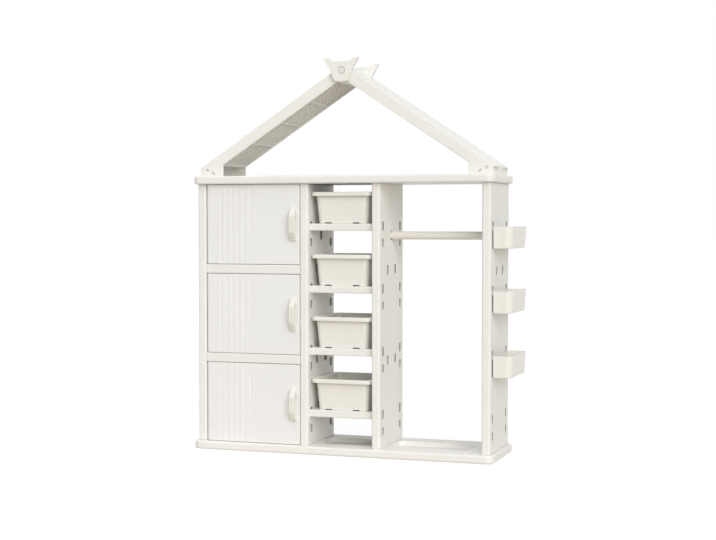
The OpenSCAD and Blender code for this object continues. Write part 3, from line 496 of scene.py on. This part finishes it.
def bin_rows(shape, base_z):
    """The wall of a bin in one run: under the floor, down and round the skirt, up the outside, out
    and down under the rim, round it, over the top, and down the inside to the floor"""
    run = [(-16, 6.0, 6), (-BIN_WALL - 1.0, 6.0, 17.4), (-BIN_WALL - 0.3, 5.5, 17.4), (-BIN_WALL, 4.6, 17.4),
           (-BIN_WALL, 0.5, 17.4), (-BIN_WALL + 0.4, 0, 17.6),
           (-0.7, 0, 19.3), (-0.2, 0.3, 19.8), (0, 0.9, 20), (0, 40, 20), (0, 80, 20), (0, 109.5, 20),
           (0.5, 111.3, 20), (1.8, 112.3, 20.5)]
    rim = [(8.5, 112.4, 22.5), (9.7, 111.9, 22.8), (10.4, 110.6, 23), (10.4, 101.5, 23), (10.8, 101, 23.2),
           (12.5, 101, 23.8), (13.0, 101.5, 24), (13.0, 111.4, 24), (12.7, 113.0, 23.8), (11.7, 114.3, 23.4),
           (10.1, 115, 22.8), (1.2, 115, 19.5), (-0.6, 114.7, 18.6), (-1.9, 113.8, 18), (-2.6, 112.2, 17.4)]
    inside = [(-2.6, 80, 17.4), (-2.6, 40, 17.4), (-2.6, 15, 17.4), (-3.1, 12, 17), (-4.6, 9.8, 16), (-7.2, 8.7, 14),
              (-12, 8.6, 10), (-30, 8.6, 6)]
    rows = []
    for k, (out, z, radius) in enumerate(run + rim + inside):
        lean = 0 if len(run) <= k < len(run) + len(rim) - 1 else BIN_SLOPE * (BIN_H - z)
        half_w, half_l = BIN_HALF[0] + out - lean, BIN_HALF[1] + out - lean
        corners = rectangle(2 * half_w, 2 * half_l, radius)
        rows.append([shape.verts.new(Vector((p.x, p.y, base_z + z)) * MM) for p in outline(corners, 0, 9)])
    skin(shape, rows)


for number, top in enumerate(SHELF_TOPS, 1):
    foot = top + BIN_PLAY
    shape = bmesh.new()
    bin_rows(shape, foot)
    notches = bmesh.new()
    across = bmesh.new()
    for s in (-NOTCH_AT, NOTCH_AT):
        near, far = s - NOTCH_W / 2, s + NOTCH_W / 2
        notch = [(near, foot - NOTCH_H, 1), (far, foot - NOTCH_H, 1),
                 (far, foot + NOTCH_H, 1.5), (near, foot + NOTCH_H, 1.5)]
        stack(notches, notch, [(0, -125), (0, 125)], endways, 4)
        stack(across, notch, [(0, -115), (0, 115)], sideways, 4)
    piece("pull_out_bin_%d" % number, carve(as_mesh(shape), notches, across), "bin_%d" % number, "bin_plastic",
          bin_plastic, "toy_bin_%d" % number)


# Clothes rod: a plain plastic tube across the right bay. A plug in each end has a lug that
# stands in the middle slot of the upright beside it.

ROD, ROD_BORE = 30, 25
ROD_WALL = [(0.5, 154.5), (0, 155.0), (0, 250), (0, 400), (0, 530.0), (0.5, 530.5)]

rod_plastic = moulded_plastic("rod_plastic", (0.83, 0.805, 0.735), gloss=(0.3, 0.38), wave=0.0001)

shape = bmesh.new()
stack(shape, disc(ROD, 0, ROD_Z), ROD_WALL, sideways, 16)
bores = bmesh.new()
stack(bores, disc(ROD_BORE, 0, ROD_Z), [(0, 150), (0, 535)], sideways, 12)
piece("rod_tube", carve(as_mesh(shape), bores), "frame", "rod_plastic", rod_plastic, "clothes_rod")
dress(bin_plastic, "bin_plastic", "left_rod_plug", "right_rod_plug")


# Side bins: three small open bins with big round outer corners and a slightly narrower foot.
# Two hooks on the back of each drop into the slots of the right upright.

SIDE_BINS = dict(zip(("lower", "middle", "upper"), HOOK_SLOT_Z[1:]))
SIDE_X = 566.5
SIDE_REACH, SIDE_HALF, SIDE_H = 70, 126, 78
SIDE_DROP = 79                           # from a hook slot down to the bin's underside
SIDE_LEAN = 4.3
SIDE_CORNER, SIDE_BACK_CORNER = 26, 5
SIDE_HOOK_W = 23.4
SIDE_WALL = [(9, 0), (3.6, 0), (1.6, 0.5), (0.5, 1.8), (0, 3.8), (0, 26), (0, 52), (0, 76.4), (0.25, 77.4), (0.85, 78),
             (1.75, 78), (2.35, 77.4), (2.6, 76.4), (2.6, 52), (2.6, 26), (2.6, 9), (3.1, 6), (4.6, 3.9), (7.2, 2.8),
             (12, 2.6)]

side_plastic = moulded_plastic("side_plastic", (0.865, 0.845, 0.785), gloss=(0.34, 0.44), wave=0.00012)

for level, slot_z in SIDE_BINS.items():
    low = slot_z - SIDE_DROP
    shape = bmesh.new()
    rows = []
    for inset, z in SIDE_WALL:
        lean = SIDE_LEAN * (1 - z / SIDE_H)
        out, half = SIDE_REACH - lean - inset, SIDE_HALF - lean - inset
        front, back = max(SIDE_CORNER - inset, 3), max(SIDE_BACK_CORNER - inset, 1)
        corners = [(inset, -half, back), (out, -half, front), (out, half, front), (inset, half, back)]
        rows.append([shape.verts.new(Vector((SIDE_X + p.x, p.y, low + z)) * MM) for p in outline(corners, 0, 10)])
    skin(shape, rows)
    for y in (-HOOK_Y, HOOK_Y):
        neck = [(0, 567.5), (0, 552.6), (0.4, 552.2)]
        stack(shape, rectangle(SIDE_HOOK_W, 14, 5.7, y, slot_z - 17 + 7.3), neck, sideways)
        tooth = [(0.4, slot_z - 23.2), (0, slot_z - 22.8), (0, slot_z - 9.7)]
        stack(shape, rectangle(6, SIDE_HOOK_W, 0.6, 555.2, y), tooth, flat, 2)
    for y in (-LUG_Y, LUG_Y):
        stack(shape, rectangle(12, 10, 1.5, y, low + 11), [(0, 567.5), (0, 563.4), (0.6, 562.8)], sideways, 4)
    piece(level + "_side_pocket", as_mesh(shape), level + "_side_bin_body", "bin_plastic", side_plastic,
          level + "_side_bin")


# Roof: two deep moulded panels that lean together at the ridge, each with its foot in the same
# moulding. Their upper face is plain. Below, close ribs run down the slope between two flanges,
# with a few cross ribs, and the foot is hollow and open on its inner side.

SLOPE = math.radians(33.2)
APEX_IN, APEX_OUT = 1374.9, 1422.7
FOOT_OUT, FOOT_IN = 565, 475
ROOF_Y = 112
FLANGES_IN = 204
RIB, RIB_BAYS, RIB_ROWS = 4, 4, 6
RIDGE_BLOCK, FOOT_BLOCK = 24, 4
CELL_W, CELL_DEPTH, ROW_PITCH = 30.7, 31, 34.7
FOOT_SCREW_Y = (-92, -54, 54, 92)
MARK_TILT = math.radians(-55)

roof_plastic = moulded_plastic("roof_plastic", (0.865, 0.85, 0.795))

for side_name, side in (("left", -1), ("right", 1)):
    edge = [(0.0, APEX_IN, 0.3), (FOOT_IN, APEX_IN - FOOT_IN * math.tan(SLOPE), 9), (FOOT_IN, DECK_Z, 1.5),
            (FOOT_OUT, DECK_Z, 1.5), (FOOT_OUT, APEX_OUT - FOOT_OUT * math.tan(SLOPE), 5), (0.0, APEX_OUT, 0.3)]
    shape = bmesh.new()
    stack(shape, edge, rounded_over(-ROOF_Y, ROOF_Y, 3.2, 5), lambda a, b, h: (side * a, h, b), 6)
    run = FOOT_IN / math.cos(SLOPE) - (RIDGE_BLOCK + FOOT_BLOCK)

    def on_slope(a, b, h):
        """From the underside of the panel: down the slope, across it and up into it"""
        return (side * (a * math.cos(SLOPE) + h * math.sin(SLOPE)), b,
                APEX_IN - a * math.sin(SLOPE) + h * math.cos(SLOPE))

    hollow = bmesh.new()
    stack(hollow, rectangle(run, FLANGES_IN, 5, run / 2 + RIDGE_BLOCK, 0), pocket(0, -RIB, 1.2, 0.3), on_slope)
    foot = bmesh.new()
    stack(foot, rectangle(FLANGES_IN, 80, 6, 0, DECK_Z), pocket(FOOT_IN, -56, 1.2, 5, 0.4),
          lambda a, b, h: (side * h, a, b))
    cells = bmesh.new()
    cell = (run - (RIB_BAYS - 1) * RIB) / RIB_BAYS
    for i in range(RIB_BAYS):
        down = RIDGE_BLOCK + cell / 2 + i * (cell + RIB)
        for j in range(RIB_ROWS):
            across = (j - (RIB_ROWS - 1) / 2) * ROW_PITCH
            side_down = pocket(RIB, -CELL_DEPTH, 0.8, 2.5, 0.5, 3)
            stack(cells, rectangle(cell, CELL_W, 4, down, across), side_down, on_slope, 4)
    sockets = bmesh.new()
    for y in FOOT_SCREW_Y:
        stack(sockets, rectangle(34, 18, 3, y, DECK_Z + 16), pocket(FOOT_OUT, 26, 1.0, 2, 0.4),
              lambda a, b, h: (side * h, a, b), 5)
    for s in (-1, 1):
        stack(sockets, disc(10, 538, DECK_Z + 23), pocket(s * ROOF_Y, s * 8, 0.8, 0.6),
              lambda a, b, h: (side * a, h, b))
        stack(sockets, rectangle(6, 17, 3), pocket(s * ROOF_Y, s * 8, 0.6, 0.5),
              lambda a, b, h: (side * (513 + a * math.cos(MARK_TILT) - b * math.sin(MARK_TILT)), h,
                               DECK_Z + 11 + a * math.sin(MARK_TILT) + b * math.cos(MARK_TILT)))
    piece(side_name + "_roof_moulding", carve(as_mesh(shape), hollow, foot, cells, sockets), "frame", "cream_plastic",
          roof_plastic, side_name + "_roof_panel")


# Ridge brackets: a thick moulded plate at the front and the back of the ridge, flat on top
# between two swept-up tips. A ring is sunk round the tie bolt that clamps the roof together.

BOLT_Z = 1401.2
BRACKET_FACE = 127
BRACKET_HALF = [(26, -37, 6), (35, -16, 14), (41, 2, 14), (53, 22, 20), (66.4, 43.8, 2.6), (64.2, 46.9, 2.2),
                (47, 45.6, 6), (36, 36, 8), (27, 34, 12)]
RING = 31

for name, side in (("front", -1), ("rear", 1)):
    around = [(x, BOLT_Z + z, r) for x, z, r in BRACKET_HALF]
    around += [(-x, BOLT_Z + z, r) for x, z, r in reversed(BRACKET_HALF)]
    around.append((0, BOLT_Z - 40, 30))
    shape = bmesh.new()
    stack(shape, around, rounded_over(ROOF_Y, BRACKET_FACE, 1.6, 4), lambda a, b, h: (a, side * h, b), 6)
    ring = bmesh.new()
    stack(ring, disc(RING, 0, BOLT_Z), pocket(BRACKET_FACE, 6, 1.0, 0.5), lambda a, b, h: (a, side * h, b), 14)
    piece(name + "_ridge_plate", carve(as_mesh(shape), ring), "frame", "cream_plastic", roof_plastic,
          name + "_ridge_bracket")


# Tie bolt and nut: plain zinc, with low domed heads and a hexagon socket, and the other screws
# of the unit, which mostly hide in the mouldings.

BOLT_HEAD = 21
SOCKET_R = 4
DOME = [(0.5, 121), (0, 121.5), (0, 124.2), (0.5, 125.1), (1.8, 125.7), (4, 126)]

turns = [math.radians(60 * k) for k in range(6)]
hexagon = [(SOCKET_R * math.cos(t), BOLT_Z + SOCKET_R * math.sin(t), 0.1) for t in turns]
for name, side in (("ridge_bolt", -1), ("ridge_nut", 1)):
    shape = bmesh.new()
    stack(shape, disc(BOLT_HEAD, 0, BOLT_Z), DOME, lambda a, b, h: (a, side * h, b), 10)
    key = bmesh.new()
    stack(key, hexagon, [(0, 128), (0, 123)], lambda a, b, h: (a, side * h, b), 1)
    piece(name + "_head", carve(as_mesh(shape), key), "frame", "steel", zinc, name)
dress(zinc, "steel", "roof_foot_screws", "base_screws", "top_screws")


# Mirror: a thin sheet of mirror with round corners and a polished edge, stuck to the outer face
# of the left upright.

MIRROR_W, MIRROR_H, MIRROR_Z = 184, 860, 511

silver = bare_metal("mirror_silver", 9, 3, (0.84, 0.87, 0.885, 1), (0.87, 0.895, 0.91, 1), (0.015, 0.045), 0.0001)

shape = bmesh.new()
stack(shape, rectangle(MIRROR_W, MIRROR_H, 14, 0, MIRROR_Z), rounded_over(562.5, 564.5, 0.6, 3),
      lambda a, b, h: (-h, a, b), 10)
piece("mirror_plate", as_mesh(shape), "frame", "mirror", silver, "mirror_sheet")


# Studio: a white floor that keeps a faint shadow, an even and slightly cool white surround, a
# broad lamp at the front right, a weaker one overhead, and the camera at the photograph's place.

LAMPS = {"side_softbox": (1.75, 0.8, (3.8, -4.8, 3.5)), "overhead_softbox": (0.75, 0.8, (-0.4, -1.7, 6))}
LAMP_TARGET = Vector((0, 0, 0.7))


def seen_apart(tree, lighting, shown, out):
    """Shows one shader to the camera and to glossy and clear rays, and lights with another"""
    rays = tree.nodes.new("ShaderNodeLightPath")
    seen = rays.outputs["Is Camera Ray"]
    for kind in ("Is Glossy Ray", "Is Transmission Ray"):
        either = tree.nodes.new("ShaderNodeMath")
        either.operation = "MAXIMUM"
        tree.links.new(seen, either.inputs[0])
        tree.links.new(rays.outputs[kind], either.inputs[1])
        seen = either.outputs["Value"]
    pick = tree.nodes.new("ShaderNodeMixShader")
    tree.links.new(seen, pick.inputs["Fac"])
    tree.links.new(lighting, pick.inputs[1])
    tree.links.new(shown, pick.inputs[2])
    tree.links.new(pick.outputs["Shader"], tree.nodes[out].inputs["Surface"])


shape = bmesh.new()
bmesh.ops.create_grid(shape, x_segments=2, y_segments=2, size=40)
ground = bpy.data.objects.new("studio_floor", bpy.data.meshes.new("studio_floor"))
shape.to_mesh(ground.data)
shape.free()
bpy.context.scene.collection.objects.link(ground)
paper = bpy.data.materials.new("studio_paper")
paper.use_nodes = True
tree = paper.node_tree
tree.nodes.remove(tree.nodes["Principled BSDF"])
plain = tree.nodes.new("ShaderNodeBsdfDiffuse")
plain.inputs["Color"].default_value = (0.70, 0.64, 0.55, 1)
glow = tree.nodes.new("ShaderNodeEmission")
glow.inputs["Color"].default_value = (1, 1, 1, 1)
glow.inputs["Strength"].default_value = 0.9
shade = tree.nodes.new("ShaderNodeBsdfDiffuse")
shade.inputs["Color"].default_value = (0.16, 0.16, 0.16, 1)
both = tree.nodes.new("ShaderNodeAddShader")
tree.links.new(glow.outputs["Emission"], both.inputs[0])
tree.links.new(shade.outputs["BSDF"], both.inputs[1])
seen_apart(tree, plain.outputs["BSDF"], both.outputs["Shader"], "Material Output")
ground.data.materials.append(paper)

world = bpy.data.worlds.new("studio_air")
bpy.context.scene.world = world
world.use_nodes = True
tree = world.node_tree
air = tree.nodes["Background"]
air.inputs["Color"].default_value = (0.96, 1.0, 1.06, 1)
air.inputs["Strength"].default_value = 0.41
white = tree.nodes.new("ShaderNodeBackground")
white.inputs["Color"].default_value = (1, 1, 1, 1)
white.inputs["Strength"].default_value = 1.0
seen_apart(tree, air.outputs["Background"], white.outputs["Background"], "World Output")

for name, (energy, spread, place) in LAMPS.items():
    softbox = bpy.data.lights.new(name, "SUN")
    softbox.energy, softbox.angle = energy, spread
    lamp = bpy.data.objects.new(name, softbox)
    lamp.location = place
    lamp.rotation_mode = "QUATERNION"
    lamp.rotation_quaternion = (LAMP_TARGET - lamp.location).to_track_quat("-Z", "Y")
    bpy.context.scene.collection.objects.link(lamp)

lens = bpy.data.cameras.new("camera")
lens.lens, lens.sensor_width = 72.75, 36
eye = bpy.data.objects.new("camera", lens)
eye.location = (1.755, -5.095, 0.864)
eye.rotation_euler = (math.radians(90 - 2.033), 0, math.radians(18.777))
bpy.context.scene.collection.objects.link(eye)
bpy.context.scene.camera = eye
bpy.context.scene.view_settings.view_transform = "Standard"
